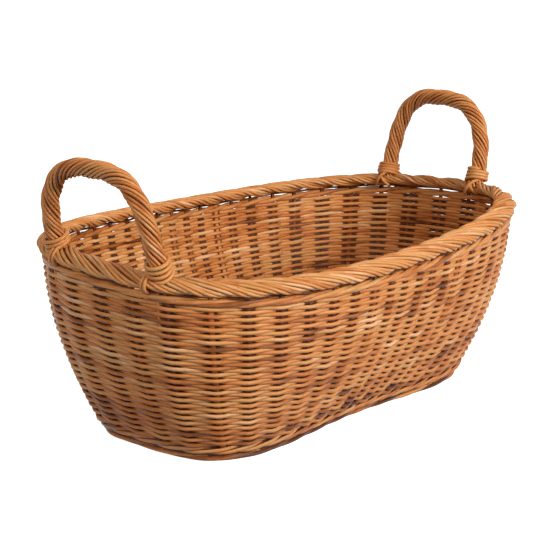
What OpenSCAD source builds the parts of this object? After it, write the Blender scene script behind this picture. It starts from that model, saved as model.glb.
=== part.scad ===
// Wicker log basket: a long oval basket woven on a stick base, with a rope-twisted
// border and a roped handle bound to each end. Millimetres, +Z up, standing on z = 0.

/* [Border] */
// Length of the basket along the middle of its border
border_length = 660; // [560:10:760]
// Width of the basket across the middle of its border, at mid-length
border_width = 403; // [340:1:440]
// Height of the middle of the border above the floor, on average
border_height = 229; // [180:1:260]
// How much higher the border runs at the two ends than at the sides
border_sweep = 10; // [0:1:20]
// How much the border is twisted, raising two opposite corners and lowering the others
border_twist = 11; // [0:1:15]
// Width of the roped border
rope_width = 32; // [26:1:38]
// Depth of the roped border
rope_depth = 17; // [14:1:22]
// Outward tilt of the roped border, in degrees
rope_tilt = 14; // [0:1:25]

/* [Foot] */
// Length of the basket where it stands
foot_length = 529; // [460:1:560]
// Width of the basket where it stands, before its waist is taken in
foot_width = 299; // [260:1:320]
// Part of the foot's width taken in by the waist at mid-length
foot_waist = 0.26; // [0:0.01:0.35]
// Width of the foot border
foot_border_width = 11; // [9:1:14]
// Height of the foot border
foot_border_height = 8; // [6:1:10]

/* [Wall] */
// Thickness of the woven wall
wall_thickness = 11; // [8:0.5:13]
// How far the wall swells out between foot and border, 0 for a straight side
wall_swell = 1; // [0.4:0.05:1]
// Number of upright stakes, an even number
stake_count = 48; // [36:2:56]
// Diameter of an upright stake
stake_diameter = 4.6; // [4:0.2:6]
// How much wider the stakes stand at the ends than along the sides
stake_fan = 0.28; // [0:0.02:0.4]

/* [Base] */
// Height of the top of the base above the floor
base_top = 18; // [16:1:22]
// Diameter of a base stick
base_stick_diameter = 4.6; // [4:0.2:5]
// Number of sticks that run the length of the base
long_stick_count = 9; // [7:2:11]
// Number of sticks that cross the base
cross_stick_count = 17; // [13:2:19]

/* [Handles] */
// Width of the left handle between the middles of its legs, at its widest
left_handle_width = 164; // [140:2:180]
// Width of the right handle between the middles of its legs, at its widest
right_handle_width = 150; // [140:2:180]
// Height of the middle of the left handle's arch above the border
left_handle_rise = 115; // [100:1:140]
// Height of the middle of the right handle's arch above the border
right_handle_rise = 118; // [100:1:140]
// How far the left handle stands off the middle of its end, towards the back
left_handle_shift = 1; // [0:1:8]
// How far the right handle stands off the middle of its end, towards the back
right_handle_shift = 8; // [0:1:8]
// Distance from the middle of the basket to each handle's feet
handle_reach = 316; // [270:2:322]
// Diameter of a roped handle
handle_diameter = 23; // [18:1:26]
// Diameter of the rods inside a handle
handle_core_diameter = 10; // [9:1:13]
// How far the handle rods run down inside the wall
handle_root = 70; // [50:5:100]
// How far the top of a handle leans out beyond its feet
handle_lean = 23; // [0:1:26]
// How far a handle bows outward at half its height
handle_bow = 5; // [0:1:8]
// Diameter of a binding at its foot
binding_diameter = 31; // [30:1:34]

/* [Hidden] */

// Points around the basket in each wall band and border
segments = 84;
// Points in the table that turns a share of the perimeter into an angle
table_steps = 144;
// Roundness of the three outlines: 2 is an ellipse, more is squarer
foot_square = 3.4;
border_square = 2.85;
// Reach of the foot's waist and of the border's belly along the basket
waist_reach = 208;
belly_reach = 400;
// Part of the border's half width added by its belly at mid-length
belly = 0.074;
// How far the wall's outer face stands outside the middle of the border
wall_lap = 9;
// Diameter of the hoop inside the border rope
core_diameter = 9;
// Shares of the wall's height where one band of weave meets the next
lower_wale_from = foot_border_height / border_height;
lower_weave_from = 0.085;
middle_weave_from = 0.37;
upper_weave_from = 0.65;
top_wale_from = 0.915;
top_wale_to = 0.957;
// Shares of the wall's height between which a stake runs
stake_foot = 0.02;
stake_top = 0.985;
stake_steps = 9;
stake_sides = 6;
// Clearance between the base and the foot of the wall
base_inset = 4.5;
base_bottom = foot_border_height;
stick_gap = 0.6;
long_stick_end_gap = 14;
cross_stick_end_gap = 3;
long_stick_spread = 0.82;
cross_stick_spread = 0.86;
end_waist = 0.4;
handle_square = 2.95;
// Sides of a rope's section, rings along a handle's arch and along each leg
rope_sides = 12;
arch_steps = 30;
leg_steps = 3;
leg_slope = 0.07;
// Angle round the arch at which the rope starts, just above the border
rope_start = 6;
binding_height = 22;
binding_rise = 5;
binding_taper = 3;
tie_diameter = 4;
tie_spacing = 6;
// How far a tie stands off its binding, towards the middle of the end
tie_offset = 9;
// Angles round the border's section between which a tie runs
tie_from = 80;
tie_to = -50;
tie_steps = 6;
tie_sides = 8;
// Share of the border's half length at which its middle passes a handle's foot
tie_place = 0.97;

// An outline is [half length, half width, squareness, waist, reach of the waist]
foot_shape = [foot_length / 2, foot_width / 2, foot_square, foot_waist, waist_reach];
belly_half_width = border_width / 2 / (1 + belly);
border_shape = [border_length / 2, belly_half_width, border_square, -belly, belly_reach];
wall_top_shape = grown(border_shape, wall_lap);
base_shape = grown(foot_shape, -base_inset);
inner_foot_shape = grown(foot_shape, -foot_border_width);

function grown(shape, by) = [shape[0] + by, shape[1] + by, shape[2], shape[3], shape[4]];

// One point of an outline, at an angle from +X
function outline_point(shape, angle) =
    let (
        n = shape[2],
        reach = 1 / pow(pow(abs(cos(angle)), n) + pow(abs(sin(angle)), n), 1 / n),
        x = shape[0] * reach * cos(angle),
        y = shape[1] * reach * sin(angle)
    )
    [x, y * (1 - shape[3] * exp(-pow(x / shape[4], 2)))];

function chord(shape, i, steps) =
    norm(outline_point(shape, (i + 1) * 360 / steps) - outline_point(shape, i * 360 / steps));

// Table from the length run along an outline to the angle reached
function length_table(shape, steps) =
    [for (i = 0, run = 0; i <= steps; run = run + chord(shape, i, steps), i = i + 1)
        [run, i * 360 / steps]];

foot_table = length_table(foot_shape, table_steps);
wall_top_table = length_table(wall_top_shape, table_steps);
border_table = length_table(border_shape, table_steps);

// Point at a share of an outline's perimeter, from 0 to 1
function point_at(shape, table, share) =
    let (turn = share - floor(share))
    outline_point(shape, lookup(turn * table[len(table) - 1][0], table));

function unit(v) = v / norm(v);
function border_z(x, y) =
    let (along = 2 * x / border_length, across = 2 * y / border_width)
    border_height + border_sweep * (pow(along, 2) - 0.5) - border_twist * along * across;

// Share of the way out from foot to border at a share of the wall's height
function flare(v) = wall_swell * (1 - pow(1 - v, 2)) + (1 - wall_swell) * v;

function wall_face(share, v) =
    let (
        low = point_at(foot_shape, foot_table, share),
        high = point_at(wall_top_shape, wall_top_table, share),
        p = low + (high - low) * flare(v)
    )
    [p[0], p[1], v * border_z(high[0], high[1])];

// Horizontal outward direction of the wall
function wall_normal(share, v) =
    let (d = wall_face(share + 0.002, v) - wall_face(share - 0.002, v))
    unit([d[1], -d[0], 0]);

function wall_point(share, v, out) = wall_face(share, v) + wall_normal(share, v) * out;

// Middle of the border and its outward direction
function border_point(share) =
    let (p = point_at(border_shape, border_table, share))
    [p[0], p[1], border_z(p[0], p[1])];
function border_normal(share) =
    let (d = border_point(share + 0.002) - border_point(share - 0.002))
    unit([d[1], -d[0], 0]);

// Share of the perimeter at which a stake stands
function stake_share(i) =
    let (s = i / stake_count)
    s + stake_fan / (4 * PI) * sin(720 * s);

// Skin faces between rings of points, each ring with the same number of points
function skin(first, rings, sides, flip) =
    [for (r = [0 : rings - 2], s = [0 : sides - 1])
        let (
            a = first + r * sides + s,
            b = first + r * sides + (s + 1) % sides,
            c = first + (r + 1) * sides + (s + 1) % sides,
            d = first + (r + 1) * sides + s
        )
        flip ? [d, c, b, a] : [a, b, c, d]];

// Ring of points round a middle, in the plane of two directions
function ring(middle, side, up, half_side, half_up, sides) =
    [for (k = [0 : sides - 1])
        middle + side * half_side * cos(360 * k / sides) + up * half_up * sin(360 * k / sides)];

function flat(lists) = [for (l = lists, p = l) p];

function path_tangent(path, i) =
    unit(path[min(i + 1, len(path) - 1)] - path[max(i - 1, 0)]);

// Rings along an open path; the reference direction is kept at right angles to the path
function path_rings(path, reference, radius, sides) =
    [for (i = [0 : len(path) - 1])
        let (
            t = path_tangent(path, i),
            side = unit(reference - t * (reference * t)),
            up = cross(t, side)
        )
        ring(path[i], side, up, radius, radius, sides)];

// Solid rod along an open path
module rod(path, reference, diameter, sides) {
    rings = path_rings(path, reference, diameter / 2, sides);
    last = (len(path) - 1) * sides;
    polyhedron(
        points = flat(rings),
        faces = concat(
            [[for (s = [0 : sides - 1]) s]],
            skin(0, len(path), sides, true),
            [[for (s = [0 : sides - 1]) last + sides - 1 - s]]
        )
    );
}

// Rope with a bore along an open run of rings, outer and inner
module sleeve(outer, inner, sides) {
    count = len(outer);
    inside = count * sides;
    end = (count - 1) * sides;
    start_cap = [for (s = [0 : sides - 1])
        [s, (s + 1) % sides, inside + (s + 1) % sides, inside + s]];
    end_cap = [for (s = [0 : sides - 1])
        [end + (s + 1) % sides, end + s, inside + end + s, inside + end + (s + 1) % sides]];
    polyhedron(
        points = concat(flat(outer), flat(inner)),
        faces = concat(
            skin(0, count, sides, true),
            skin(inside, count, sides, false),
            start_cap,
            end_cap
        )
    );
}

// Faces of a closed loop of rings, the last joined to the first
function loop_skin(rings, sides) =
    [for (r = [0 : rings - 1], s = [0 : sides - 1])
        let (next = (r + 1) % rings, t = (s + 1) % sides)
        [r * sides + s, next * sides + s, next * sides + t, r * sides + t]];

// One band of woven wall right round the basket: up its outer face and down its inner one
module wall_band(from, to, rows) {
    levels = [for (r = [0 : rows]) from + (to - from) * r / rows];
    shares = [for (i = [0 : segments - 1]) i / segments];
    outer = [for (v = levels) [for (s = shares) wall_point(s, v, 0)]];
    inner = [for (r = [rows : -1 : 0]) [for (s = shares) wall_point(s, levels[r], -wall_thickness)]];
    polyhedron(
        points = flat(concat(outer, inner)),
        faces = loop_skin(2 * (rows + 1), segments)
    );
}

// Stakes whose numbers run from first to last
module stakes(first, last) {
    for (i = [first : last]) {
        share = stake_share(i);
        path = [for (k = [0 : stake_steps])
            let (v = stake_foot + (stake_top - stake_foot) * k / stake_steps)
            wall_point(share, v, -wall_thickness / 2)];
        rod(path, wall_normal(share, 0.5), stake_diameter, stake_sides);
    }
}

module outline(shape) {
    polygon([for (i = [0 : segments - 1]) outline_point(shape, i * 360 / segments)]);
}

// Half width of an outline at a place along it
function half_width_at(shape, x) =
    let (y = shape[1] * pow(1 - pow(abs(x) / shape[0], shape[2]), 1 / shape[2]))
    y * (1 - shape[3] * exp(-pow(x / shape[4], 2)));
// Half length of an outline at a place across it; its waist is nearly gone at the ends
function half_length_at(shape, y) =
    let (across = abs(y) / shape[1] / (1 - end_waist * shape[3]))
    shape[0] * pow(1 - pow(across, shape[2]), 1 / shape[2]);

module foot_border() {
    color("saddlebrown")
    linear_extrude(foot_border_height)
    difference() {
        outline(foot_shape);
        outline(inner_foot_shape);
    }
}

module base_weave() {
    color("peru")
    translate([0, 0, base_bottom])
    linear_extrude(base_top - base_bottom)
    outline(base_shape);
}

module base_long_sticks() {
    mid = long_stick_count - 1;
    half_room = half_width_at(base_shape, 0) * long_stick_spread;
    color("sienna")
    for (i = [0 : mid]) {
        y = half_room * (2 * i / mid - 1);
        half = half_length_at(base_shape, y) - long_stick_end_gap;
        translate([-half, y, (base_top + base_bottom) / 2 + base_stick_diameter / 2])
        rotate([0, 90, 0])
        cylinder(d = base_stick_diameter - stick_gap, h = 2 * half, $fn = 24);
    }
}

module base_cross_sticks() {
    mid = cross_stick_count - 1;
    half_room = base_shape[0] * cross_stick_spread;
    color("sienna")
    for (i = [0 : mid]) {
        x = half_room * (2 * i / mid - 1);
        half = half_width_at(base_shape, x) - cross_stick_end_gap;
        translate([x, half, (base_top + base_bottom) / 2 - base_stick_diameter / 2])
        rotate([90, 0, 0])
        cylinder(d = base_stick_diameter - stick_gap, h = 2 * half, $fn = 24);
    }
}

// The stakes are grouped by quarter turns, a few at each end and the rest along the sides
end_half = 3;
half_count = stake_count / 2;
module left_end_stakes() { color("burlywood") stakes(half_count - end_half, half_count + end_half); }
module right_end_stakes() { color("burlywood") stakes(-end_half, end_half); }
module back_stakes() { color("burlywood") stakes(end_half + 1, half_count - end_half - 1); }
module front_stakes() {
    color("burlywood") stakes(half_count + end_half + 1, stake_count - end_half - 1);
}

module lower_wale() { color("sienna") wall_band(lower_wale_from, lower_weave_from, 1); }
module lower_side_weave() { color("peru") wall_band(lower_weave_from, middle_weave_from, 4); }
module middle_side_weave() { color("peru") wall_band(middle_weave_from, upper_weave_from, 3); }
module upper_side_weave() { color("peru") wall_band(upper_weave_from, top_wale_from, 2); }
module top_wale() { color("sienna") wall_band(top_wale_from, top_wale_to, 1); }

// Rings of the border rope or its bore, over a half turn of the basket
function border_rings(from, half_side, half_up, sides) =
    [for (i = [0 : segments / 2])
        let (
            share = from + i / segments,
            n = border_normal(share),
            side = n * cos(rope_tilt) - [0, 0, sin(rope_tilt)],
            up = n * sin(rope_tilt) + [0, 0, cos(rope_tilt)]
        )
        ring(border_point(share), side, up, half_side, half_up, sides)];

module border_core() {
    half = core_diameter / 2;
    front_run = border_rings(0.5, half, half, rope_sides);
    back_run = border_rings(0, half, half, rope_sides);
    rings = concat(back_run, [for (r = [1 : segments / 2 - 1]) front_run[r]]);
    color("tan")
    polyhedron(points = flat(rings), faces = loop_skin(segments, rope_sides));
}

// The rope is laid on in two runs that meet at the middle of each end
module border_rope() {
    color("burlywood")
    for (from = [0, 0.5])
        sleeve(
            border_rings(from, rope_width / 2, rope_depth / 2, rope_sides),
            border_rings(from, core_diameter / 2, core_diameter / 2, rope_sides),
            rope_sides
        );
}

// A handle's path and feet; side is -1 for the left end and 1 for the right,
// end is -1 for the front foot and 1 for the back one.
// The feet follow the twisted border, and the path levels out towards the top of the arch,
// leaning and bowing outward; part is the share of the arch's rise reached.
function handle_width(side) = side < 0 ? left_handle_width : right_handle_width;
function handle_rise(side) = side < 0 ? left_handle_rise : right_handle_rise;
function handle_shift(side) = side < 0 ? left_handle_shift : right_handle_shift;
function foot_y(side, end) = end * handle_width(side) / 2 + handle_shift(side);
function foot_z(side, y) = border_z(side * handle_reach, y);
function handle_out(part) = part * handle_lean + handle_bow * sin(180 * part);
function handle_point(side, angle) =
    let (
        n = handle_square,
        reach = 1 / pow(pow(abs(cos(angle)), n) + pow(abs(sin(angle)), n), 1 / n),
        part = reach * sin(angle),
        y = foot_y(side, reach * cos(angle)),
        middle_z = foot_z(side, 0),
        levelling = (foot_z(side, y) - middle_z) * (1 - part)
    )
    [side * (handle_reach + handle_out(part)), y, middle_z + levelling + handle_rise(side) * part];
function handle_path(side, from, steps) =
    [for (i = [0 : steps]) handle_point(side, from + (180 - 2 * from) * i / steps)];

// The core's legs run on down inside the wall, leaning in with it
function handle_leg(side, end, depth) =
    let (
        y = foot_y(side, end),
        top_x = half_length_at(wall_top_shape, y) - wall_thickness / 2
    )
    [side * (top_x - leg_slope * depth), y, foot_z(side, y) - depth];

module handle_core(side) {
    depths = [for (k = [1 : leg_steps]) handle_root * k / leg_steps];
    back = [for (k = [leg_steps : -1 : 1]) handle_leg(side, 1, depths[k - 1])];
    front = [for (d = depths) handle_leg(side, -1, d)];
    arch = handle_path(side, 0, arch_steps);
    color("tan")
    rod(concat(back, arch, front), [1, 0, 0], handle_core_diameter, rope_sides);
}

module handle_rope(side) {
    path = handle_path(side, rope_start, arch_steps);
    color("burlywood")
    sleeve(
        path_rings(path, [1, 0, 0], handle_diameter / 2, rope_sides),
        path_rings(path, [1, 0, 0], handle_core_diameter / 2, rope_sides),
        rope_sides
    );
}

// A binding: turns of fine rod wound round the foot of a handle, wider where they grip the border
module binding(side, end) {
    y = foot_y(side, end);
    top = binding_rise + binding_height;
    lean = atan(handle_out(top / handle_rise(side)) / top);
    color("chocolate")
    translate([side * handle_reach, y, foot_z(side, y)])
    rotate([0, side * lean, 0])
    translate([0, 0, binding_rise])
    rotate_extrude($fn = 48)
    polygon([
        [handle_diameter / 2, 0],
        [binding_diameter / 2, 0],
        [binding_diameter / 2 - binding_taper, binding_height],
        [handle_diameter / 2, binding_height]
    ]);
}

// A tie: the two ends of a binding, drawn down over the outside of the border.
// Each follows the border's own section, one radius clear of it.
module tie(side, end) {
    y = foot_y(side, end) - end * tie_offset;
    middle_x = border_length / 2 * tie_place;
    middle_z = border_z(side * middle_x, y);
    out = rope_width / 2 + tie_diameter / 2;
    up = rope_depth / 2 + tie_diameter / 2;
    color("chocolate")
    for (k = [-1, 1]) {
        path = [for (i = [0 : tie_steps])
            let (a = tie_from + (tie_to - tie_from) * i / tie_steps)
            [
                side * (middle_x + out * cos(a) * cos(rope_tilt) + up * sin(a) * sin(rope_tilt)),
                y + k * tie_spacing / 2,
                middle_z - out * cos(a) * sin(rope_tilt) + up * sin(a) * cos(rope_tilt)
            ]];
        rod(path, [0, 1, 0], tie_diameter, tie_sides);
    }
}

module left_handle_core() { handle_core(-1); }
module left_handle_rope() { handle_rope(-1); }
module right_handle_core() { handle_core(1); }
module right_handle_rope() { handle_rope(1); }
module left_front_binding() { binding(-1, -1); }
module left_back_binding() { binding(-1, 1); }
module right_front_binding() { binding(1, -1); }
module right_back_binding() { binding(1, 1); }
module left_front_tie() { tie(-1, -1); }
module left_back_tie() { tie(-1, 1); }
module right_front_tie() { tie(1, -1); }
module right_back_tie() { tie(1, 1); }

foot_border();
base_weave();
base_long_sticks();
base_cross_sticks();
left_end_stakes();
right_end_stakes();
front_stakes();
back_stakes();
lower_wale();
lower_side_weave();
middle_side_weave();
upper_side_weave();
top_wale();
border_core();
border_rope();
left_handle_core();
left_handle_rope();
right_handle_core();
right_handle_rope();
left_front_binding();
left_back_binding();
right_front_binding();
right_back_binding();
left_front_tie();
left_back_tie();
right_front_tie();
right_back_tie();
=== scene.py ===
import functools
import math

import bpy
import numpy as np
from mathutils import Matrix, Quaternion, Vector

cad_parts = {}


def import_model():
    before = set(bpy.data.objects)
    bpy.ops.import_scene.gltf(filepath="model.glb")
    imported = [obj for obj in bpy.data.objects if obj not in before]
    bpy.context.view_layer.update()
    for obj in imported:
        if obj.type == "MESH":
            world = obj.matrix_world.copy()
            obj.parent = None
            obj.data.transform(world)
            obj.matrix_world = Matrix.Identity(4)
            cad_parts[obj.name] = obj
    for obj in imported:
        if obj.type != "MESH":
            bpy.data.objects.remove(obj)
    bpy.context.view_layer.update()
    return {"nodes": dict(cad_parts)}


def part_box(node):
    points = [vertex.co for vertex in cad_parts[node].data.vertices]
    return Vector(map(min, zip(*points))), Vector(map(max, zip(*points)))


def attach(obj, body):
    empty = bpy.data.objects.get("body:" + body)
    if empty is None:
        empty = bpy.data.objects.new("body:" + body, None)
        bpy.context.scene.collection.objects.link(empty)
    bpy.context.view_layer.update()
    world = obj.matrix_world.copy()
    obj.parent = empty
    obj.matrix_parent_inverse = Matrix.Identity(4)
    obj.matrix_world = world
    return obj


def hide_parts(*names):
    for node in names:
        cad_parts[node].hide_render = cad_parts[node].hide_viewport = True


# The looks of a wicker log basket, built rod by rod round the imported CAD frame.
# Metres, +Z up, +X along the basket towards its right handle.
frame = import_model()
rng = np.random.default_rng(7)

# ---------------------------------------------------------------- driving dimensions
BORDER_HEIGHT = 0.229
BORDER_SWEEP = 0.010
BORDER_TWIST = 0.011
BORDER_HALF_LENGTH = 0.330
BORDER_HALF_WIDTH = 0.2015
BORDER_SQUARE = 2.85
BELLY = 0.074
BELLY_REACH = 0.400
ROPE_HALF_WIDTH = 0.016
ROPE_HALF_DEPTH = 0.0085
ROPE_TILT = math.radians(14)
FOOT_HALF_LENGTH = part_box("foot_border")[1].x
FOOT_HALF_WIDTH = 0.1495
FOOT_SQUARE = 3.4
FOOT_WAIST = 0.26
WAIST_REACH = 0.208
WALL_LAP = 0.009
WALL_THICKNESS = 0.011
STAKES = 48
STAKE_FAN = 0.28
STAKE_RADIUS = 0.0023
STAKE_FOOT, STAKE_TOP = 0.02, 0.985
BASE_INSET = 0.0005
HANDLE_REACH = 0.316
HANDLE_HALF_WIDTH = {"left": 0.082, "right": 0.075}
HANDLE_RISE = {"left": 0.115, "right": 0.118}
HANDLE_SHIFT = {"left": 0.001, "right": 0.008}
HANDLE_RADIUS = 0.0115
HANDLE_SQUARE = 2.95
HANDLE_LEAN = 0.023
HANDLE_BOW = 0.005
HANDLE_ROOT = 0.070
BINDING_RISE = {"front": 0.0075, "back": 0.004}
BINDING_HEIGHT = 0.022
BINDING_RADIUS = 0.0165
TIE_PLACE = 0.97 * BORDER_HALF_LENGTH

# Rods. A stake's section is flattened by the weavers. END_TAIL and END_DIVE count in stakes, and
# each pair for the low wale's dark sheets of painted shade is a level of the wall and a half height.
ROD_SIDES = 8
STEPS_PER_STAKE = 8
STAKE_HALF_OUT, STAKE_HALF_UP = 0.83 * STAKE_RADIUS, 1.45 * STAKE_RADIUS
ROW_PITCH = 0.00408
WEAVER_OUT = 0.0029
WEAVER_HALF_UP = 0.00238
WEAVER_HALF_OUT = 0.0022
STROKE_CURL = 2.0
END_TAIL, END_DIVE = 0.32, 0.4
END_SINK, END_DRIFT = 0.0012, 0.0014
# Thin dark sheets and rods of painted shade, for the shade between the rods: half thickness and tones
SHADE_SHEET_HALF_OUT = 0.0003
PAINTED_SHADE_TONE = -0.1
ROPE_PAINTED_SHADE_TONE = -0.2
LOW_WALE_SHADE_SHEETS = ((0.018, 0.0045), (0.060, 0.0065))
OUTLINE_STEPS = 1440
ARCH_STEPS = 120

FOOT = (FOOT_HALF_LENGTH, FOOT_HALF_WIDTH, FOOT_SQUARE, FOOT_WAIST, WAIST_REACH)
BORDER = (BORDER_HALF_LENGTH, BORDER_HALF_WIDTH / (1 + BELLY), BORDER_SQUARE, -BELLY, BELLY_REACH)


# ---------------------------------------------------------------- the basket's surfaces
def grown(shape, by):
    """An outline moved outward by a distance."""
    return (shape[0] + by, shape[1] + by) + shape[2:]


WALL_TOP = grown(BORDER, WALL_LAP)
BASE = grown(FOOT, -BASE_INSET)


def outline(shape, angle):
    """Points of an outline: half length, half width, squareness, waist, reach of the waist."""
    half_length, half_width, square, waist, reach = shape
    cos, sin = np.cos(angle), np.sin(angle)
    far = (np.abs(cos) ** square + np.abs(sin) ** square) ** (-1 / square)
    x = half_length * far * cos
    return np.stack([x, half_width * far * sin * (1 - waist * np.exp(-((x / reach) ** 2)))], -1)


@functools.lru_cache
def length_table(shape):
    """Shares of an outline's length, and the angle reached at each share."""
    angles = np.linspace(0, 2 * math.pi, OUTLINE_STEPS + 1)
    steps = np.linalg.norm(np.diff(outline(shape, angles), axis=0), axis=1)
    run = np.concatenate([[0], np.cumsum(steps)])
    return run / run[-1], angles


def at_share(shape, share):
    """Points at shares of an outline's length, counter-clockwise from +X."""
    shares, angles = length_table(shape)
    return outline(shape, np.interp(share % 1.0, shares, angles))


def unit(v):
    return v / np.linalg.norm(v, axis=-1, keepdims=True)


def border_z(x, y):
    """Height of the border's middle: it sweeps up at the ends, and is twisted out of true."""
    along, across = x / BORDER_HALF_LENGTH, y / BORDER_HALF_WIDTH
    return BORDER_HEIGHT + BORDER_SWEEP * (along**2 - 0.5) - BORDER_TWIST * along * across


def wall_face(share, v):
    """Points of the wall's outer face, at a share of its length and of its height."""
    low, high = at_share(FOOT, share), at_share(WALL_TOP, share)
    flare = 1 - (1 - v) ** 2
    flat = low + (high - low) * flare[:, None]
    return np.column_stack([flat, v * border_z(high[:, 0], high[:, 1])])


def wall_normal(share, v, step=0.002):
    along = wall_face(share + step, v) - wall_face(share - step, v)
    rise = wall_face(share, v + step) - wall_face(share, v - step)
    return unit(np.cross(along, rise))


def in_wall(share, v, out):
    """Points a distance out from the wall's middle, with the wall's normals there."""
    share, v = np.broadcast_arrays(np.asarray(share, float), np.asarray(v, float))
    normal = wall_normal(share, v)
    return wall_face(share, v) + normal * np.reshape(out - WALL_THICKNESS / 2, (-1, 1)), normal


stake_drift = rng.uniform(-1, 1, (2, STAKES))


def stake_share(s, v):
    """Share of the wall's length at stake number s, which may lie between two stakes."""
    turn = s / STAKES
    number = np.arange(STAKES + 1)
    lean = stake_drift[0] * 0.0011 + stake_drift[1] * 0.0014 * math.sin(math.pi * v)
    drift = np.interp(s % STAKES, number, np.append(lean, lean[0]))
    return turn + STAKE_FAN / (4 * math.pi) * np.sin(4 * math.pi * turn) + drift


def smooth(t):
    t = np.clip(t, 0, 1)
    return t * t * (3 - 2 * t)


def wobble(t, size, waves):
    """Slow seeded waviness along t, from 0 to 1. It joins up with itself if the waves are whole."""
    total = np.zeros_like(t)
    for turns in waves:
        total += np.sin(2 * math.pi * (turns * t + rng.random())) * rng.uniform(0.4, 1)
    return total * size / len(waves)


# ---------------------------------------------------------------- rods and pieces
class Rods:
    """Rods gathered into one mesh, each vertex with its rod's tone and its place in the grain."""

    def __init__(self):
        self.points, self.faces, self.tones, self.grains = [], [], [], []
        self.count = 0

    def add(self, path, out, half_out, half_up, tone, closed=False):
        """A rod along a path. Its section reaches half_out along out, and half_up across it."""
        n = len(path)
        after = np.roll(path, -1, 0)
        before = np.roll(path, 1, 0)
        if not closed:
            after[-1], before[0] = path[-1], path[0]
        tangent = unit(after - before)
        side = unit(out - tangent * np.sum(out * tangent, 1, keepdims=True))
        up = np.cross(tangent, side)
        half_out = np.broadcast_to(half_out, n).astype(float)
        half_up = np.broadcast_to(half_up, n).astype(float)
        if not closed:
            blunt = np.ones(n)
            blunt[0] = blunt[-1] = 0.55
            half_out, half_up = half_out * blunt, half_up * blunt
        turn = np.arange(ROD_SIDES) * 2 * math.pi / ROD_SIDES
        across = half_out[:, None] * np.cos(turn)
        along = half_up[:, None] * np.sin(turn)
        rings = path[:, None] + side[:, None] * across[..., None] + up[:, None] * along[..., None]
        self._faces(n, closed)
        run = np.concatenate([[0], np.cumsum(np.linalg.norm(np.diff(path, axis=0), axis=1))])
        start = rng.uniform(0, 30)
        grain = np.stack([np.broadcast_to((run + start)[:, None], across.shape), across, along], -1)
        self.points.append(rings.reshape(-1, 3))
        self.grains.append(grain.reshape(-1, 3))
        self.tones.append(np.repeat(np.broadcast_to(tone, n), ROD_SIDES))
        self.count += n * ROD_SIDES

    def _faces(self, n, closed):
        ring = np.arange(n if closed else n - 1)[:, None] * ROD_SIDES
        k = np.arange(ROD_SIDES)[None]
        following = (k + 1) % ROD_SIDES
        beyond = (ring + ROD_SIDES) % (n * ROD_SIDES)
        quads = np.stack([ring + k, ring + following, beyond + following, beyond + k], -1)
        self.faces += (quads.reshape(-1, 4) + self.count).tolist()
        if not closed:
            last = self.count + (n - 1) * ROD_SIDES
            self.faces.append([self.count + ROD_SIDES - 1 - i for i in range(ROD_SIDES)])
            self.faces.append([last + i for i in range(ROD_SIDES)])

    def piece(self, name, material, slot, *nodes):
        """The rods as one piece of the object, standing for CAD nodes."""
        mesh = bpy.data.meshes.new(name)
        mesh.from_pydata(np.concatenate(self.points), [], self.faces)
        tone = mesh.attributes.new("tone", "FLOAT", "POINT")
        tone.data.foreach_set("value", np.concatenate(self.tones).astype(np.float32))
        grain = mesh.attributes.new("grain", "FLOAT_VECTOR", "POINT")
        grain.data.foreach_set("vector", np.concatenate(self.grains).astype(np.float32).ravel())
        mesh.polygons.foreach_set("use_smooth", np.ones(len(mesh.polygons), bool))
        mesh.materials.append(material)
        obj = bpy.data.objects.new(name, mesh)
        bpy.context.scene.collection.objects.link(obj)
        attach(obj, "root")
        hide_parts(*nodes)


# ---------------------------------------------------------------- materials
class Nodes:
    """A short way to write a material's node tree."""

    def __init__(self, name):
        self.material = bpy.data.materials.new(name)
        self.material.use_nodes = True
        self.tree = self.material.node_tree
        self.shader = self.tree.nodes["Principled BSDF"]

    def link(self, source, target):
        self.tree.links.new(source, target)

    def new(self, kind, **settings):
        node = self.tree.nodes.new("ShaderNode" + kind)
        for key, value in settings.items():
            setattr(node, key, value)
        return node

    def attribute(self, name, output):
        return self.new("Attribute", attribute_name=name).outputs[output]

    def scaled(self, vector, scale):
        node = self.new("Mapping")
        self.link(vector, node.inputs["Vector"])
        node.inputs["Scale"].default_value = scale
        return node.outputs["Vector"]

    def noise(self, vector, scale, detail=2.0):
        node = self.new("TexNoise")
        self.link(self.scaled(vector, scale), node.inputs["Vector"])
        node.inputs["Scale"].default_value = 1.0
        node.inputs["Detail"].default_value = detail
        return node.outputs["Fac"]

    def math(self, operation, first, second):
        node = self.new("Math", operation=operation)
        for socket, value in zip(node.inputs, (first, second)):
            if isinstance(value, (int, float)):
                socket.default_value = value
            else:
                self.link(value, socket)
        return node.outputs[0]

    def spread(self, value, low, high, to_low, to_high):
        node = self.new("MapRange")
        self.link(value, node.inputs["Value"])
        sockets = ("From Min", "From Max", "To Min", "To Max")
        for socket, number in zip(sockets, (low, high, to_low, to_high)):
            node.inputs[socket].default_value = number
        return node.outputs["Result"]

    def ramp(self, value, stops):
        node = self.new("ValToRGB")
        elements = node.color_ramp.elements
        while len(elements) < len(stops):
            elements.new(0.5)
        for element, (place, colour) in zip(elements, stops):
            element.position = place
            element.color = (*colour, 1)
        self.link(value, node.inputs["Fac"])
        return node.outputs["Color"]

    def mix(self, blend, amount, first, second):
        node = self.new("Mix", data_type="RGBA", blend_type=blend)
        sockets = (node.inputs[0], node.inputs[6], node.inputs[7])
        for socket, value in zip(sockets, (amount, first, second)):
            if isinstance(value, float):
                socket.default_value = value
            elif isinstance(value, tuple):
                socket.default_value = (*value, 1)
            else:
                self.link(value, socket)
        return node.outputs[2]

    def bump(self, height, strength, distance):
        node = self.new("Bump")
        node.inputs["Strength"].default_value = strength
        node.inputs["Distance"].default_value = distance
        self.link(height, node.inputs["Height"])
        self.link(node.outputs["Normal"], self.shader.inputs["Normal"])


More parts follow.
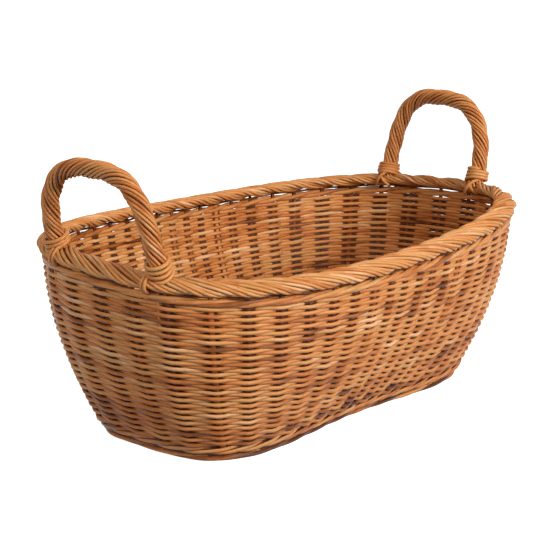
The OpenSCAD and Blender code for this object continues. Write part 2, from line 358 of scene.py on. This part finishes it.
# Colours of the rods, from the darkest to the palest
UMBER = (0.105, 0.026, 0.004)
DARK_BROWN = (0.22, 0.062, 0.011)
ORANGE_BROWN = (0.50, 0.158, 0.034)
TAN = (0.66, 0.262, 0.075)
OLIVE_TAN = (0.60, 0.275, 0.084)
PEACH = (0.82, 0.455, 0.225)
SPECK = (0.10, 0.035, 0.012)
TONES = (
    (0.0, UMBER),
    (0.08, DARK_BROWN),
    (0.33, ORANGE_BROWN),
    (0.52, TAN),
    (0.68, OLIVE_TAN),
    (0.95, PEACH),
)

# Noise scales per metre: along a rod, then across it both ways
PATCH_SCALE = (9, 40, 40)
MOTTLE_SCALE = (55, 160, 160)
SPECK_SCALE = (190, 420, 420)
FIBRE_SCALE = (110, 2600, 2600)


def rod_material(name, shade=0.0, along=None):
    """Varnished wicker. The tone and grain come from the rods, or from the CAD node's own axis."""
    n = Nodes(name)
    if along is None:
        grain = n.attribute("grain", "Vector")
        tone = n.attribute("tone", "Fac")
    else:
        turned = n.new("Mapping")
        turned.inputs["Rotation"].default_value = along
        n.link(n.new("TexCoord").outputs["Object"], turned.inputs["Vector"])
        grain = turned.outputs["Vector"]
        tone = n.noise(grain, (2, 40, 40), 0.0)
    patches = n.noise(grain, PATCH_SCALE)
    mottle = n.noise(grain, MOTTLE_SCALE)
    fibre = n.noise(grain, FIBRE_SCALE, 3.0)
    level = n.math("ADD", tone, n.math("MULTIPLY", n.math("SUBTRACT", patches, 0.5), 0.8))
    level = n.math("ADD", level, n.math("MULTIPLY", n.math("SUBTRACT", mottle, 0.5), 0.45))
    # shade shifts the whole tone; for the stakes and the foot's strands it is painted shade
    level = n.math("ADD", level, shade)
    colour = n.ramp(level, TONES)
    streaks = n.ramp(fibre, ((0.30, (0.62, 0.58, 0.54)), (0.62, (1.0, 1.0, 1.0))))
    colour = n.mix("MULTIPLY", 0.75, colour, streaks)
    speck = n.spread(n.noise(grain, SPECK_SCALE, 1.0), 0.70, 0.78, 0.0, 0.75)
    colour = n.mix("MIX", speck, colour, SPECK)
    n.link(colour, n.shader.inputs["Base Color"])
    n.link(n.spread(mottle, 0.3, 0.7, 0.34, 0.52), n.shader.inputs["Roughness"])
    n.shader.inputs["Specular IOR Level"].default_value = 0.22
    n.shader.inputs["Coat Weight"].default_value = 0.02
    n.shader.inputs["Coat Roughness"].default_value = 0.32
    n.bump(n.math("ADD", fibre, n.math("MULTIPLY", mottle, 0.8)), 0.5, 0.0004)
    return n.material


# ---------------------------------------------------------------- the woven wall
BANDS = {
    "lower_wale": (0.035, 0.085),
    "lower_side_weave": (0.085, 0.37),
    "middle_side_weave": (0.37, 0.65),
    "upper_side_weave": (0.65, 0.905),
    "top_wale": (0.905, 0.950),
}
weave_from, weave_to = BANDS["lower_side_weave"][0], BANDS["upper_side_weave"][1]
ROWS = round((weave_to - weave_from) * BORDER_HEIGHT / ROW_PITCH)

# Tones: the middle and spread of the weavers', how much darker they are painted at the foot as
# painted shade for the lower wall facing down, the level of the wall where that ends, and how
# strongly the broad patches show
WEAVER_TONE = (0.5, 0.13)
FOOT_PAINTED_SHADE, FOOT_PAINTED_SHADE_END = 0.20, 0.45
BLOTCH_SHADE = 0.12


def row_joins(row):
    """Stakes behind which one rod of a row ends and the next begins."""
    count = int(rng.integers(3, 6))
    places = (np.arange(count) + rng.uniform(0.1, 0.7, count)) * STAKES / count
    return [2 * int(p // 2) + (row + 1) % 2 for p in places]


blotch_starts = rng.uniform(0, 2 * math.pi, 3)


def blotches(turn, v):
    """Broad darker and paler patches of the wall, from -1 to 1."""
    waves = 2 * math.pi * np.array([5, 8, 13])[:, None] * turn + 7 * v * np.array([1, -2, 3])[:, None]
    return np.sin(waves + blotch_starts[:, None]).mean(0) * 1.6


def weaver(rods, row, v, first, last):
    """One side rod, in front of one stake and behind the next, with both ends left inside."""
    steps = int((last - first + 2 * END_TAIL) * STEPS_PER_STAKE) + 1
    s = np.linspace(first - END_TAIL, last + END_TAIL, steps)
    t = np.linspace(0, 1, steps)
    start = smooth((first + END_DIVE - s) / (END_DIVE + END_TAIL))
    end = smooth((s - last + END_DIVE) / (END_DIVE + END_TAIL))
    swing = np.cos(math.pi * (s + row))
    front = np.sign(swing) * np.abs(swing) ** STROKE_CURL
    crossing = np.sin(math.pi * s) ** 2
    grip = 1 + wobble(t, 0.10, (5.3, 9.1, 12.7))
    out = WEAVER_OUT * front * grip - END_SINK * (start + end)
    drift = wobble(t, 0.00038, (3.1, 6.7, 10.3)) + END_DRIFT * (start - end)
    size = rng.uniform(0.95, 1.05) * (1.04 - 0.10 * t) * (1 - 0.25 * (start + end))
    path, normal = in_wall(stake_share(s, v), v + drift / BORDER_HEIGHT, out)
    half_up = WEAVER_HALF_UP * size * (1 + 0.12 * crossing)
    # Painted shade: the rods are darker towards the foot, where the lower wall faces down
    low_painted_shade = FOOT_PAINTED_SHADE * (1 - smooth(v / FOOT_PAINTED_SHADE_END))
    tone = rng.normal(*WEAVER_TONE) - low_painted_shade + BLOTCH_SHADE * blotches(s / STAKES, v)
    rods.add(path, normal, WEAVER_HALF_OUT * size, half_up, tone)


def shade_sheet(rods, v, half_up):
    """A thin dark sheet of painted shade at a level of the wall, between a row's front and back
    strokes.
    """
    s = np.arange(STAKES * 2) / 2
    level = v + wobble(s / STAKES, 0.0012, (5, 9, 14))
    path, normal = in_wall(stake_share(s, v), level, 0.0)
    rods.add(path, normal, SHADE_SHEET_HALF_OUT, half_up, PAINTED_SHADE_TONE, closed=True)


def side_weave(rows):
    rods = Rods()
    for row in rows:
        v = weave_from + (row + 0.5) / ROWS * (weave_to - weave_from)
        # A dark sheet of painted shade between the row's strokes
        shade_sheet(rods, v, ROW_PITCH * (0.53 - 0.06 * v))
        joins = row_joins(row)
        for first, last in zip(joins, joins[1:] + [joins[0] + STAKES]):
            weaver(rods, row, v, first, last)
    return rods


def rows_of(node):
    """Numbers of the rows whose middles lie in a band of the wall."""
    low, high = BANDS[node]
    middles = weave_from + (np.arange(ROWS) + 0.5) / ROWS * (weave_to - weave_from)
    return [int(row) for row in np.flatnonzero((middles >= low) & (middles < high))]


def wale(node, half_up, half_out):
    """Three rods, each in front of two stakes and behind the third, rising as they go."""
    rods = Rods()
    low, high = BANDS[node]
    v = (low + high) / 2
    rise = max((high - low) / 2 - half_up / BORDER_HEIGHT, 0.004)
    s = np.arange(STAKES * STEPS_PER_STAKE) / STEPS_PER_STAKE
    for first in range(3):
        stroke = ((s - first + 0.5) / 3) % 1
        swing = 1 / 3 + 4 / 3 * np.cos(2 * math.pi * (stroke - 1 / 3))
        out = WEAVER_OUT * 1.2 * np.tanh(swing)
        climb = np.where(stroke < 0.62, stroke / 1.24, 0.5 + (stroke - 0.62) / 0.76)
        level = v - rise * np.cos(2 * math.pi * climb) + wobble(s / STAKES, 0.0015, (7, 13, 17))
        path, normal = in_wall(stake_share(s, v), level, out)
        tone = 0.5 + wobble(s / STAKES, 0.45, (2, 5, 9))
        rods.add(path, normal, half_out, half_up, tone, closed=True)
    return rods


LINING_LEVEL = 0.957
LINING_ROD = 0.0015


def lining(rods):
    """The butts of the border's rods, running in and out of the stakes just under the rope, painted
    dark as painted shadow under the rope.
    """
    s = np.arange(STAKES * STEPS_PER_STAKE) / STEPS_PER_STAKE
    level = LINING_LEVEL + wobble(s / STAKES, 0.004, (11, 17, 23))
    path, normal = in_wall(stake_share(s, level.mean()), level, 0.002 * np.cos(math.pi * s))
    # Painted shadow: a dark tone for the shade under the rope
    rods.add(path, normal, LINING_ROD, LINING_ROD, 0.05, closed=True)
    return rods


def stakes(numbers):
    rods = Rods()
    for number in numbers:
        v = np.linspace(STAKE_FOOT, STAKE_TOP, 24)
        share = np.array([stake_share(np.array([float(number)]), level)[0] for level in v])
        path, normal = in_wall(share, v, 0.0)
        rods.add(path, normal, STAKE_HALF_OUT, STAKE_HALF_UP, rng.normal(0.4, 0.15))
    return rods


# ---------------------------------------------------------------- the foot and the base
FOOT_ROD = 0.0026
FOOT_CORE, FOOT_CORE_INSET = 0.0034, 0.0082
# Radius and height of a dark rod along the foot's bottom: a painted contact shadow
FOOT_SHADOW_ROD = 0.0017


def foot_ring(share):
    """Points of the wall's foot, with the level directions out of it there."""
    low = np.zeros_like(share)
    return wall_face(share, low), unit(wall_normal(share, low + 0.02) * (1, 1, 0))


def foot_stroke(number, strand, height):
    """One strand from under the border, rising as it runs on, and turning in behind the wall."""
    t = np.linspace(0, 1, 30)
    s = 2 * number - 1.1 + 0.25 * strand + t * (4.6 + 0.35 * strand)
    arched = 0.0070 * np.sin(math.pi * np.clip(t * 1.05, 0, 1)) ** 0.6
    out = -0.0072 + arched - 0.006 * smooth((t - 0.88) / 0.12) - 0.0014 * strand
    face, flat = foot_ring(stake_share(s, 0.0))
    path = face + flat * (out - FOOT_ROD + 0.0004)[:, None]
    climb = (height - FOOT_ROD + 0.0012) * smooth((t - 0.25) / 0.75)
    path[:, 2] = FOOT_ROD + climb + 0.0022 * strand * smooth(t / 0.3)
    return path, flat


def foot_border():
    """Pairs of strands at every second stake, round a thick rod closed in by dark rods of painted
    shade, one a painted shadow along the bottom.
    """
    rods = Rods()
    low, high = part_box("foot_border")
    height = high.z - low.z
    for number in range(STAKES // 2):
        for strand in range(2):
            path, flat = foot_stroke(number, strand, height)
            rods.add(path, flat, FOOT_ROD, FOOT_ROD, rng.normal(0.42, 0.16))
    face, flat = foot_ring(np.linspace(0, 1, 480, endpoint=False))
    middle = face - flat * FOOT_CORE_INSET
    middle[:, 2] = height / 2 + 0.0006
    rods.add(middle, flat, FOOT_CORE, FOOT_CORE, 0.3, closed=True)
    # Dark rods of painted shade: a painted shadow line along the bottom, and the shade behind the
    # thick rod
    under = middle + flat * 0.0036
    under[:, 2] = FOOT_SHADOW_ROD
    rods.add(under, flat, FOOT_SHADOW_ROD, FOOT_SHADOW_ROD, PAINTED_SHADE_TONE, closed=True)
    rods.add(middle - flat * 0.0042, flat, 0.0036, 0.0012, PAINTED_SHADE_TONE, closed=True)
    return rods


CROSS_STICKS, LONG_STICKS = 17, 9
# Half the room a stick takes in the weave: a little under its radius, as the rods press on it
STICK_ROOM = 0.002
RODS_PER_GAP = 5
BASE_ROD = 0.0017
BASE_STEPS = 560


def half_width_at(shape, x):
    """Half width of an outline at places along it."""
    inside = np.clip(1 - (np.abs(x) / shape[0]) ** shape[2], 0, None)
    return shape[1] * inside ** (1 / shape[2]) * (1 - shape[3] * np.exp(-((x / shape[4]) ** 2)))


def stick_places(node, axis, count):
    """Middles of the base sticks of a node, along an axis."""
    low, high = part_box(node)
    return np.linspace(low[axis] + STICK_ROOM, high[axis] - STICK_ROOM, count)


def base_weave():
    """Rods woven lengthwise over and under the cross sticks, between the long sticks."""
    rods = Rods()
    cross = stick_places("base_cross_sticks", 0, CROSS_STICKS)
    long_ones = stick_places("base_long_sticks", 1, LONG_STICKS)
    pitch = (long_ones[1] - long_ones[0]) / RODS_PER_GAP
    middle = (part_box("base_cross_sticks")[0].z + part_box("base_cross_sticks")[1].z) / 2
    spacing = cross[1] - cross[0]
    reach = int(BASE[1] / pitch)
    x = np.linspace(-BASE[0], BASE[0], BASE_STEPS)
    for number in range(-reach, reach + 1):
        on_stick = number % RODS_PER_GAP == 0 and abs(number) <= RODS_PER_GAP * (LONG_STICKS // 2)
        y = number * pitch
        inside = np.flatnonzero(half_width_at(BASE, x) > abs(y) + STICK_ROOM)
        if len(inside) == 0:
            continue
        runs = np.split(inside, np.flatnonzero(np.diff(inside) > 1) + 1)
        for run in [r for r in runs if len(r) > 12]:
            xs = x[run[0] : run[-1] + 1 : 3]
            swing = np.cos(math.pi * (xs - cross[0]) / spacing + math.pi * number)
            z = middle + 2 * STICK_ROOM * 0.98 * swing
            ys = y + wobble((xs - x[0]) / (x[-1] - x[0]), 0.0006, (4.1, 7.3))
            path = np.stack([xs, ys, z], -1)
            up = np.broadcast_to([0.0, 0.0, 1.0], path.shape)
            level = path[::4] * (1, 1, 0) + (0, 0, middle)
            # A dark sheet of painted shade at the rods' middle level, for the shade between them
            rods.add(level, up[::4], SHADE_SHEET_HALF_OUT, pitch * 0.58, PAINTED_SHADE_TONE)
            if not on_stick:
                rods.add(path, up, BASE_ROD, pitch / 2 * 1.04, rng.normal(0.45, 0.15))
    return rods


# ---------------------------------------------------------------- ropes
def ellipse_angles(half_side, half_up, shares):
    """Angles on an ellipse at shares of its length."""
    angles = np.linspace(0, 2 * math.pi, 361)
    points = np.stack([half_side * np.cos(angles), half_up * np.sin(angles)], -1)
    run = np.concatenate([[0], np.cumsum(np.linalg.norm(np.diff(points, axis=0), axis=1))])
    turn = np.floor(shares)
    return np.interp(shares - turn, run / run[-1], angles) + 2 * math.pi * turn


def stroke_tones(turn, spread):
    """A tone for each half turn of a rod, changing where it is out of sight."""
    strokes = np.floor(turn * 2).astype(int)
    tones = rng.normal(0.0, spread, strokes.max() - strokes.min() + 1)
    return tones[strokes - strokes.min()]


def rope(
    rods, path, side, up, half_side, half_up, turns, groups, rod, tone, notch, gap, closed=False
):
    """Rods twisted round a path in groups, with a notch between groups and a dark rod of painted
    shade inside, for the shade in the grooves.

    Turns are positive for a Z twist.
    """
    u = np.linspace(0, 1, len(path), endpoint=not closed)
    slots = sum(groups) + gap * len(groups)
    slot = 0.0
    for size in groups:
        for k in range(size):
            edge = abs(2 * k - (size - 1)) / max(size - 1, 1)
            jitter = wobble(u, 0.10 / slots, (3, 7, 11) if closed else (1.3, 2.9, 4.7))
            share = (slot + k) / slots - turns * u + jitter
            deep = notch * edge**2 + wobble(u, 0.00025, (5, 12, 19) if closed else (1.7, 3.3, 5.9))
            a, b = half_side - rod - deep, half_up - rod - deep
            angle = ellipse_angles(half_side, half_up, share)
            cos, sin = np.cos(angle)[:, None], np.sin(angle)[:, None]
            points = path + side * cos * a[:, None] + up * sin * b[:, None]
            out = unit(side * cos * half_up + up * sin * half_side)
            tones = tone + stroke_tones(share - 0.25, 0.11) + rng.normal(0, 0.08)
            rods.add(points, out, rod, rod * rng.uniform(0.96, 1.04), tones, closed)
        slot += size + gap
    # A dark rod of painted shade inside the rope, for the shade in its grooves
    rods.add(path, side, half_side - 2 * rod, half_up - 2 * rod, ROPE_PAINTED_SHADE_TONE, closed)


def border_frame(steps):
    """Middle of the border with its tilted sideways and upward directions."""
    share = np.arange(steps) / steps
    flat = at_share(BORDER, share)
    ahead, behind = at_share(BORDER, share + 0.002), at_share(BORDER, share - 0.002)
    along = ahead - behind
    out = unit(np.stack([along[:, 1], -along[:, 0], np.zeros(steps)], -1))
    path = np.column_stack([flat, border_z(flat[:, 0], flat[:, 1])])
    vertical = np.array([0.0, 0.0, 1.0])
    side = out * math.cos(ROPE_TILT) - vertical * math.sin(ROPE_TILT)
    up = out * math.sin(ROPE_TILT) + vertical * math.cos(ROPE_TILT)
    return path, side, up


def border_rope():
    rods = Rods()
    path, side, up = border_frame(360)
    rope(
        rods, path, side, up, ROPE_HALF_WIDTH, ROPE_HALF_DEPTH,
        turns=13, groups=(4, 4, 4), rod=0.00203, tone=0.52, notch=0.0020, gap=0.6, closed=True,
    )
    return rods


def sign_of(name):
    """-1 for the left handle or a front foot, 1 for the right handle or a back foot."""
    return -1 if name in ("left", "front") else 1


def foot_y(end, row):
    return sign_of(row) * HANDLE_HALF_WIDTH[end] + HANDLE_SHIFT[end]


def foot_z(end, y):
    return border_z(sign_of(end) * HANDLE_REACH, y)


def handle_out(part):
    """How far a handle stands out beyond its feet at a share of its rise."""
    return part * HANDLE_LEAN + HANDLE_BOW * np.sin(math.pi * part)


def arch(end):
    """Points along a handle's arch, evenly spaced, from its back foot to its front foot."""
    angle = np.linspace(0, math.pi, 400)
    cos, sin = np.cos(angle), np.sin(angle)
    far = (np.abs(cos) ** HANDLE_SQUARE + np.abs(sin) ** HANDLE_SQUARE) ** (-1 / HANDLE_SQUARE)
    part = far * sin
    x = sign_of(end) * (HANDLE_REACH + handle_out(part))
    y = HANDLE_HALF_WIDTH[end] * far * cos + HANDLE_SHIFT[end]
    middle = foot_z(end, 0)
    levelling = (foot_z(end, y) - middle) * (1 - part)
    points = np.stack([x, y, middle + levelling + HANDLE_RISE[end] * part], -1)
    run = np.concatenate([[0], np.cumsum(np.linalg.norm(np.diff(points, axis=0), axis=1))])
    places = np.linspace(0, run[-1], ARCH_STEPS)
    return np.stack([np.interp(places, run, points[:, k]) for k in range(3)], -1)


def path_frame(path, reference):
    tangent = unit(np.gradient(path, axis=0))
    side = unit(reference - tangent * (tangent @ reference)[:, None])
    return side, np.cross(tangent, side)


def handle_rope(end):
    rods = Rods()
    path = arch(end)
    side, up = path_frame(path, np.array([1.0, 0.0, 0.0]))
    rope(
        rods, path, side, up, HANDLE_RADIUS, HANDLE_RADIUS,
        turns=3.6, groups=(4, 4, 4), rod=0.00177, tone=0.45, notch=0.0010, gap=0.4,
    )
    return rods


def wall_share(end, y):
    """Share of the wall's length at which its top passes a handle's foot."""
    middle = 0.0 if end == "right" else 0.5
    shares = middle + np.linspace(-0.12, 0.12, 481)
    return shares[np.argmin(np.abs(at_share(BORDER, shares)[:, 1] - y))]


def handle_core(end):
    """The rod inside a handle, its cut legs tapering down inside the wall beside the stakes."""
    rods = Rods()
    steps = 12
    legs = []
    for row in ("back", "front"):
        y = foot_y(end, row)
        top = foot_z(end, y)
        v = np.linspace(top - HANDLE_ROOT, top - 0.008, steps) / top
        legs.append(in_wall(wall_share(end, y), v, 0.0)[0])
    path = np.concatenate([legs[0], arch(end), legs[1][::-1]])
    rising = np.linspace(0.0016, 0.0024, steps)
    radius = np.concatenate([rising, np.full(ARCH_STEPS, 0.005), rising[::-1]])
    out = np.broadcast_to([1.0, 0.0, 0.0], path.shape)
    rods.add(path, out, radius, radius, 0.5)
    return rods


# ---------------------------------------------------------------- bindings and ties
BINDING_ROD = 0.0024
TIE_ROD = 0.0021
TAIL_OFFSET = 0.009
TAIL_SPREAD = 0.010


def binding(end, row):
    """Turns of fine rod round the foot of a handle, closing in as they rise."""
    rods = Rods()
    y = foot_y(end, row)
    foot = np.array([sign_of(end) * HANDLE_REACH, y, foot_z(end, y)])
    top = BINDING_RISE[row] + BINDING_HEIGHT
    axis = unit(np.array([sign_of(end) * handle_out(top / HANDLE_RISE[end]), 0.0, top]))
    tilt = rng.uniform(0.12, 0.26, 2) * rng.choice([-1, 1], 2)
    first = np.cross([0.0, 1.0, 0.0], axis)
    wide = BINDING_RADIUS - BINDING_ROD
    narrow = HANDLE_RADIUS + BINDING_ROD * 0.7
    climb = BINDING_HEIGHT - 2 * BINDING_ROD
    turns = climb / (2 * BINDING_ROD * 0.98)
    t = np.linspace(0, 1, int(turns * 28))
    angle = 2 * math.pi * turns * t + rng.uniform(0, 2 * math.pi)
    radius = wide + (narrow - wide) * t**0.7 + wobble(t, 0.0005, (3.1, 5.7))
    radius = radius - 0.003 * smooth((t - 0.95) / 0.05) - 0.003 * smooth((0.05 - t) / 0.05)
    out = np.cos(angle)[:, None] * first + np.sin(angle)[:, None] * np.array([0.0, 1.0, 0.0])
    lift = radius * (np.cos(angle) * tilt[0] + np.sin(angle) * tilt[1]) * (1 - t)
    height = BINDING_RISE[row] + BINDING_ROD + climb * t + lift
    path = foot + out * radius[:, None] + axis * height[:, None]
    tone = rng.normal(0.52, 0.06) + wobble(t, 0.16, (1.7, 3.1, 4.3))
    rods.add(path, out, BINDING_ROD, BINDING_ROD, tone)
    return rods


def round_border(end, y, angle, clear):
    """Points round the border's section where it passes a handle's foot."""
    across = (ROPE_HALF_WIDTH + clear) * np.cos(angle)
    rise = (ROPE_HALF_DEPTH + clear) * np.sin(angle)
    x = sign_of(end) * (TIE_PLACE + across * math.cos(ROPE_TILT) + rise * math.sin(ROPE_TILT))
    middle = border_z(sign_of(end) * TIE_PLACE, y)
    z = middle - across * math.sin(ROPE_TILT) + rise * math.cos(ROPE_TILT)
    return np.stack([x, np.broadcast_to(y, x.shape), z], -1)


def tie(end, row):
    """The two tails of a binding, down over the outside of the border and crossed inside it."""
    rods = Rods()
    y = foot_y(end, row)
    for side in (-1, 1):
        outer = np.radians(np.linspace(80, -52 - 8 * side, 22))
        tail_y = y - sign_of(row) * TAIL_OFFSET + side * TIE_ROD * 1.2
        path = round_border(end, tail_y, outer, TIE_ROD * 1.3)
        out = np.gradient(path, axis=0)[:, [2, 1, 0]] * (-1, 0, 1)
        rods.add(path, out, TIE_ROD, TIE_ROD, rng.normal(0.55, 0.08))
        inner = np.radians(np.linspace(100, 240, 22))
        across = y + side * TAIL_SPREAD * np.linspace(-1, 1, 22)
        path = round_border(end, across, inner, TIE_ROD * (2 if side > 0 else 1))
        out = np.gradient(path, axis=0)[:, [2, 1, 0]] * (-1, 0, 1)
        rods.add(path, out, TIE_ROD, TIE_ROD, rng.normal(0.5, 0.08))
    return rods


# ---------------------------------------------------------------- studio
def floor():
    size = 12
    mesh = bpy.data.meshes.new("floor")
    corners = [(-size, -size, 0), (size, -size, 0), (size, size, 0), (-size, size, 0)]
    mesh.from_pydata(corners, [], [(0, 1, 2, 3)])
    n = Nodes("floor_paper")
    n.shader.inputs["Base Color"].default_value = (0.9, 0.9, 0.9, 1)
    n.shader.inputs["Roughness"].default_value = 0.9
    n.shader.inputs["Emission Color"].default_value = (1, 1, 1, 1)
    n.shader.inputs["Emission Strength"].default_value = 0.85
    mesh.materials.append(n.material)
    obj = bpy.data.objects.new("floor", mesh)
    obj.location.z = -0.0005
    obj.visible_diffuse = False
    bpy.context.scene.collection.objects.link(obj)


def world(above, below):
    """A plain white room, dimmer under the horizon."""
    made = bpy.data.worlds.new("studio")
    made.use_nodes = True
    tree = made.node_tree
    back = tree.nodes["Background"]
    back.inputs["Color"].default_value = (1, 1, 1, 1)
    parts = tree.nodes.new("ShaderNodeSeparateXYZ")
    level = tree.nodes.new("ShaderNodeMapRange")
    tree.links.new(tree.nodes.new("ShaderNodeTexCoord").outputs["Generated"], parts.inputs[0])
    tree.links.new(parts.outputs["Z"], level.inputs["Value"])
    tree.links.new(level.outputs["Result"], back.inputs["Strength"])
    limits = {"From Min": -0.15, "From Max": 0.35, "To Min": below, "To Max": above}
    for name, value in limits.items():
        level.inputs[name].default_value = value
    bpy.context.scene.world = made


def direction(azimuth, elevation):
    """Unit vector towards a viewpoint: azimuth 0 is in front, at -Y, and 90 at +X."""
    a, e = math.radians(azimuth), math.radians(elevation)
    back = (math.sin(a) * math.cos(e), -math.cos(a) * math.cos(e), math.sin(e))
    return Vector(back)


def area_light(name, azimuth, elevation, distance, size, power):
    """A soft light over the basket, aimed at its middle."""
    light = bpy.data.lights.new(name, "AREA")
    light.size = size
    light.energy = power
    obj = bpy.data.objects.new(name, light)
    back = direction(azimuth, elevation)
    obj.location = back * distance
    obj.rotation_mode = "QUATERNION"
    obj.rotation_quaternion = (-back).to_track_quat("-Z", "Y")
    bpy.context.scene.collection.objects.link(obj)


CAMERA_AZIMUTH, CAMERA_ELEVATION = -50.3, 15.6
CAMERA_DISTANCE = 2.31
CAMERA_ROLL = 0.0108
CAMERA_SHIFT = (-0.024, 0.0687)
LENS = 118
AIM_HEIGHT = 0.113


def camera():
    data = bpy.data.cameras.new("camera")
    data.sensor_width = 36
    data.lens = LENS
    data.shift_x, data.shift_y = CAMERA_SHIFT
    obj = bpy.data.objects.new("camera", data)
    back = direction(CAMERA_AZIMUTH, CAMERA_ELEVATION)
    obj.location = Vector((0, 0, AIM_HEIGHT)) + back * CAMERA_DISTANCE
    obj.rotation_mode = "QUATERNION"
    obj.rotation_quaternion = (-back).to_track_quat("-Z", "Y") @ Quaternion((0, 0, 1), CAMERA_ROLL)
    bpy.context.scene.collection.objects.link(obj)
    bpy.context.scene.camera = obj


# ---------------------------------------------------------------- the basket
def build_wall():
    side = rod_material("side_wicker")
    waling = rod_material("wale_wicker", shade=-0.02)
    # Painted shade: the stakes are much darker, for the shade in the recesses between the weavers
    stake = rod_material("stake_rod", shade=-0.40)
    for node in ("lower_side_weave", "middle_side_weave", "upper_side_weave"):
        side_weave(rows_of(node)).piece(node + "_rods", side, "side_wicker", node)
    low_wale = wale("lower_wale", half_up=0.0023, half_out=0.0019)
    # Dark sheets of painted shade between the low wale's rods
    for level, half_up in LOW_WALE_SHADE_SHEETS:
        shade_sheet(low_wale, level, half_up)
    low_wale.piece("lower_wale_rods", waling, "wale_wicker", "lower_wale")
    high_wale = lining(wale("top_wale", half_up=0.0029, half_out=0.0025))
    high_wale.piece("top_wale_rods", waling, "wale_wicker", "top_wale")
    half = STAKES // 2
    groups = {
        "right_end_stakes": range(-3, 4),
        "back_stakes": range(4, half - 3),
        "left_end_stakes": range(half - 3, half + 4),
        "front_stakes": range(half + 4, STAKES - 3),
    }
    for node, numbers in groups.items():
        stakes(numbers).piece(node + "_rods", stake, "stake_rod", node)


def build_foot():
    # Painted shade: the foot's strands are darker, for the contact shadow at the floor
    strand = rod_material("foot_wicker", shade=-0.27)
    base = rod_material("base_wicker", shade=-0.05)
    foot_border().piece("foot_border_rods", strand, "foot_wicker", "foot_border")
    base_weave().piece("base_weave_rods", base, "base_wicker", "base_weave")
    quarter = math.pi / 2
    for node, turn in (("base_long_sticks", (0, 0, 0)), ("base_cross_sticks", (0, 0, quarter))):
        finish_node(node, rod_material(node + "_stick", shade=-0.1, along=turn))


def finish_node(node, material):
    """Gives a CAD node that stays in sight its own material."""
    obj = frame["nodes"][node]
    obj.data.materials.clear()
    obj.data.materials.append(material)


def build_rim():
    rope_look = rod_material("border_wicker", shade=0.12)
    border_rope().piece("border_rope_rods", rope_look, "border_wicker", "border_rope")
    finish_node("border_core", rod_material("border_core_rod", along=(0, 0, 0)))


def build_handles():
    grip = rod_material("handle_wicker")
    core = rod_material("core_rod")
    tied = rod_material("binding_rod")
    for end in ("left", "right"):
        handle_rope(end).piece(f"{end}_handle_rope_rods", grip, "handle_wicker", f"{end}_handle_rope")
        handle_core(end).piece(f"{end}_handle_core_rod", core, "core_rod", f"{end}_handle_core")
        for row in ("front", "back"):
            node = f"{end}_{row}_binding"
            binding(end, row).piece(node + "_rod", tied, "binding_rod", node)
            node = f"{end}_{row}_tie"
            tie(end, row).piece(node + "_rods", tied, "binding_rod", node)


build_wall()
build_foot()
build_rim()
build_handles()
floor()
world(above=0.42, below=0.10)
area_light("key", azimuth=5, elevation=28, distance=3.0, size=1.4, power=95)
area_light("left", azimuth=-80, elevation=38, distance=2.4, size=0.9, power=16)
camera()
bpy.context.scene.view_settings.view_transform = "Standard"
